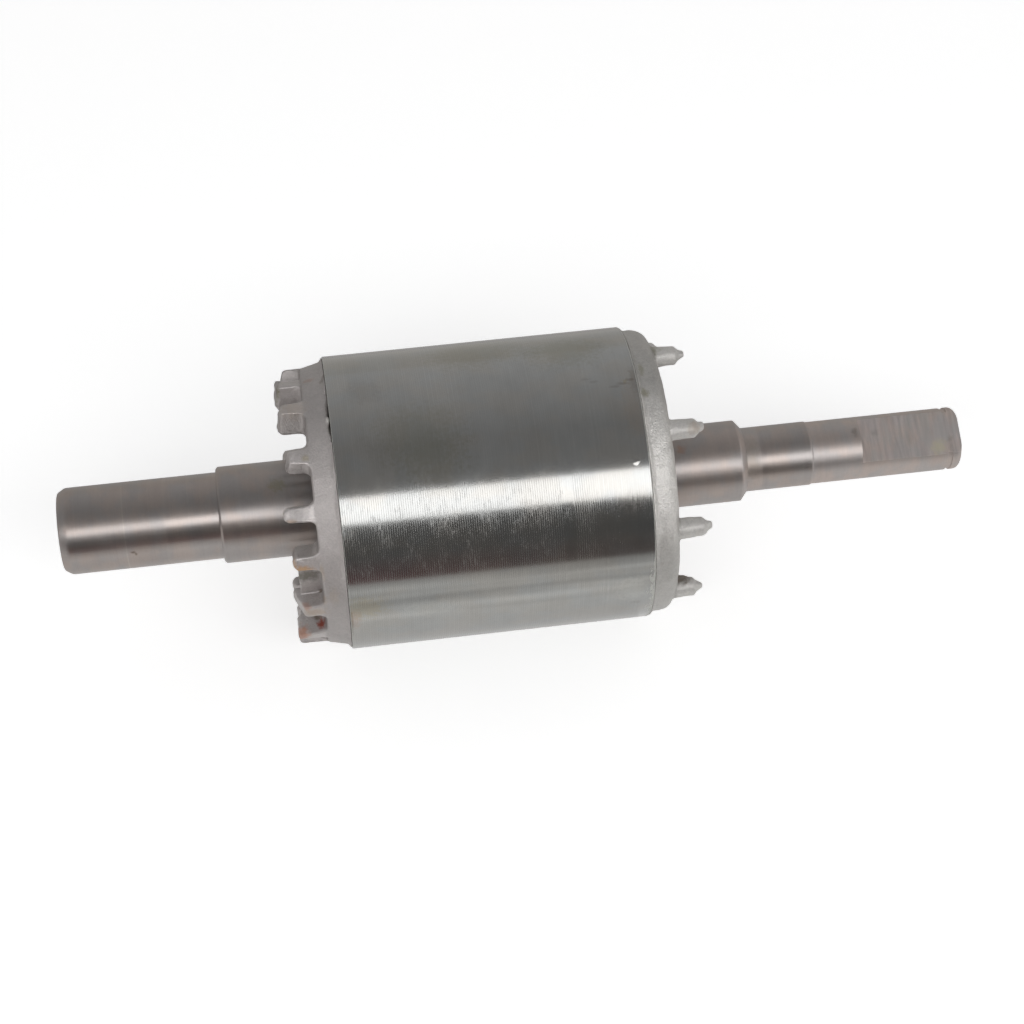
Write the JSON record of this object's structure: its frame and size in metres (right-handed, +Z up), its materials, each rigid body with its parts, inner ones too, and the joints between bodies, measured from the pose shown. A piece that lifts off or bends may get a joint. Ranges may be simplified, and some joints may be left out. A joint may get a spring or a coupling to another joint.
{
  "type": "motor rotor",
  "caption": "Squirrel-cage rotor of a small induction motor: stepped steel shaft, round stack of steel sheets, cast aluminium end rings with fan blades and balance pins, and a flat on the tail.",
  "frame": {"origin": "on the shaft's axis, at the middle of the large bearing's seat", "axes": "+X along the shaft towards the flatted end, +Z up as the rotor lies"},
  "size_m": [0.2104, 0.068, 0.068],
  "materials": {
    "shaft_steel": "turned and ground, satin",
    "core_steel": "turned sheet edges, fine rings round the stack",
    "cage_aluminium": "as cast, matt and grainy"
  },
  "bodies": {
    "root": {"shaft": "shaft_steel", "lamination_stack": "core_steel", "rotor_cage": "cage_aluminium"}
  },
  "joints": []
}
